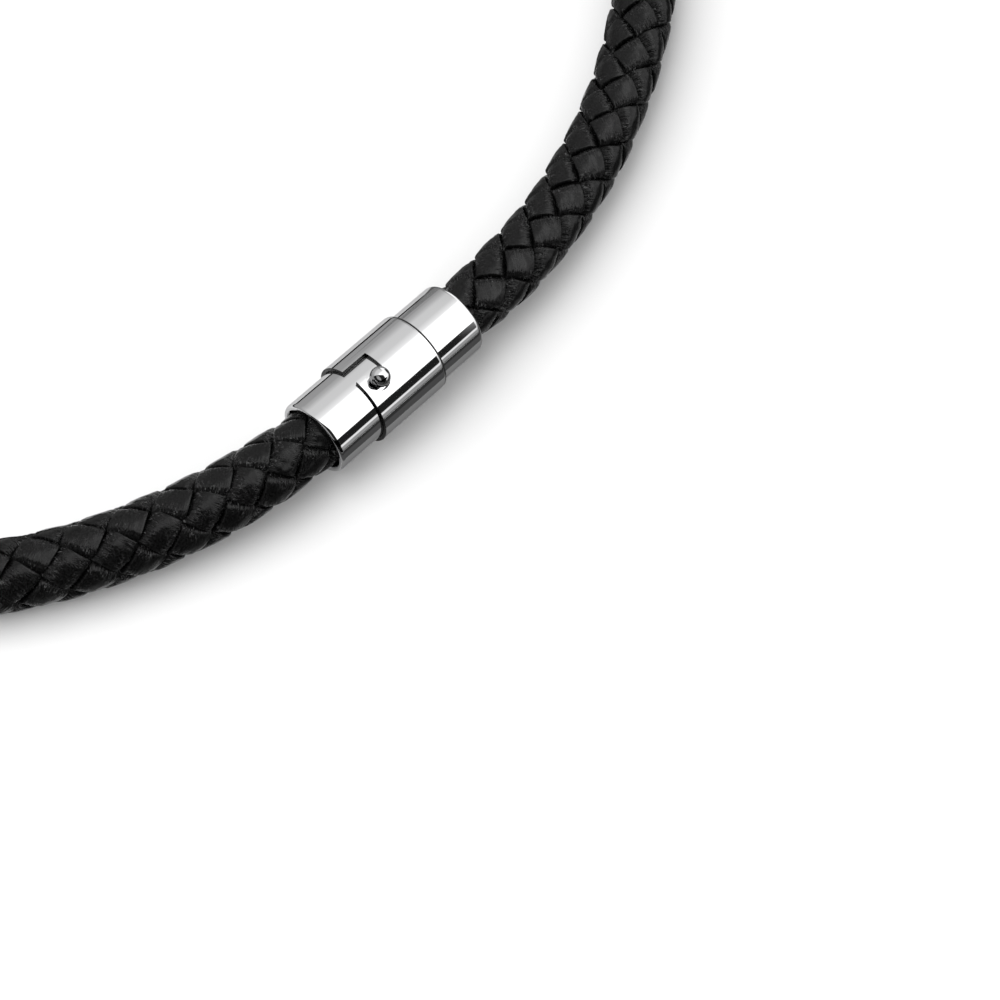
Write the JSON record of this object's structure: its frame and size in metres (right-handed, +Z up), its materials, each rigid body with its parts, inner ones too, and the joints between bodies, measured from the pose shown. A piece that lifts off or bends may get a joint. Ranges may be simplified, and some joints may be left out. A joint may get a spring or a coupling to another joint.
{
  "type": "braided leather cord necklace",
  "caption": "Closed braided leather cord necklace lying flat, its ends held in a polished steel bayonet clasp with an L-slotted sleeve and a ball-headed locking pin.",
  "frame": {"origin": "middle of the necklace's own box, on the surface that it lies on", "axes": "+Z up from the surface; +X along the clasp, from the pin cap to the slotted socket; +Y from the clasp across the loop to the far side"},
  "size_m": [0.153, 0.1446, 0.0097],
  "materials": {
    "leather": "black, semi-matte, finely grained",
    "steel": "mirror-polished stainless steel"
  },
  "bodies": {
    "root": {"strand_rising_1": "leather", "strand_rising_2": "leather", "strand_rising_3": "leather", "strand_rising_4": "leather", "strand_falling_1": "leather", "strand_falling_2": "leather", "strand_falling_3": "leather", "strand_falling_4": "leather", "pin_cap": "steel", "slotted_socket": "steel", "lock_pin": "steel"}
  },
  "joints": []
}
